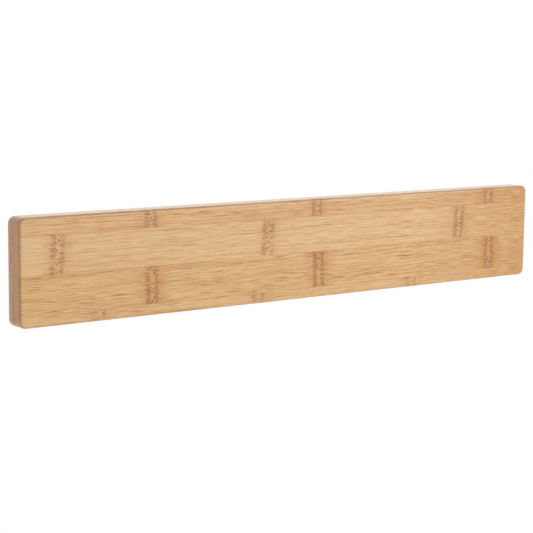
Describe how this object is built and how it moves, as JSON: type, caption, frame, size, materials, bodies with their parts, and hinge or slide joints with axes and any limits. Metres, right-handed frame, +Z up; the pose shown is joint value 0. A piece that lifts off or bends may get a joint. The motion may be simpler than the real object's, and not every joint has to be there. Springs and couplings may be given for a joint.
{
  "type": "magnetic knife bar",
  "caption": "Laminated bamboo wall bar that holds kitchen knives by magnets behind its face, hung on keyhole plates let into its back.",
  "frame": {"origin": "middle of the back face, which lies on the wall", "axes": "+X along the bar, to the right as seen from the front; the face that holds the knives looks along -Y and the wall is on the +Y side; +Z up"},
  "size_m": [0.38, 0.015, 0.06],
  "materials": {
    "bamboo_face": "satin lacquer",
    "bamboo_core": "satin lacquer",
    "bamboo_back": "satin lacquer",
    "bamboo_cover": "sanded, thin oil",
    "magnet_ferrite": "ground ceramic",
    "yoke_steel": "mill finish",
    "plate_steel": "bright zinc plated",
    "screw_steel": "bright zinc plated"
  },
  "bodies": {
    "root": {"back_strip_bottom": "bamboo_back", "back_strip_left": "bamboo_back", "back_strip_right": "bamboo_back", "back_strip_top": "bamboo_back", "core_slat_01": "bamboo_core", "core_slat_02": "bamboo_core", "core_slat_03": "bamboo_core", "core_slat_04": "bamboo_core", "core_slat_05": "bamboo_core", "core_slat_06": "bamboo_core", "core_slat_07": "bamboo_core", "core_slat_08": "bamboo_core", "core_slat_09": "bamboo_core", "core_slat_10": "bamboo_core", "core_slat_11": "bamboo_core", "core_slat_12": "bamboo_core", "core_slat_13": "bamboo_core", "core_slat_14": "bamboo_core", "core_slat_15": "bamboo_core", "core_slat_16": "bamboo_core", "core_slat_17": "bamboo_core", "core_slat_18": "bamboo_core", "core_slat_19": "bamboo_core", "cover_strip_lower": "bamboo_cover", "cover_strip_upper": "bamboo_cover", "front_strip_1": "bamboo_face", "front_strip_2": "bamboo_face", "front_strip_3": "bamboo_face", "front_strip_4": "bamboo_face", "keyhole_plate_left": "plate_steel", "keyhole_plate_right": "plate_steel", "magnet_lower_1": "magnet_ferrite", "magnet_lower_2": "magnet_ferrite", "magnet_lower_3": "magnet_ferrite", "magnet_lower_4": "magnet_ferrite", "magnet_lower_5": "magnet_ferrite", "magnet_lower_6": "magnet_ferrite", "magnet_lower_7": "magnet_ferrite", "magnet_upper_1": "magnet_ferrite", "magnet_upper_2": "magnet_ferrite", "magnet_upper_3": "magnet_ferrite", "magnet_upper_4": "magnet_ferrite", "magnet_upper_5": "magnet_ferrite", "magnet_upper_6": "magnet_ferrite", "magnet_upper_7": "magnet_ferrite", "plate_screws": "screw_steel", "steel_yoke": "yoke_steel"}
  },
  "joints": []
}
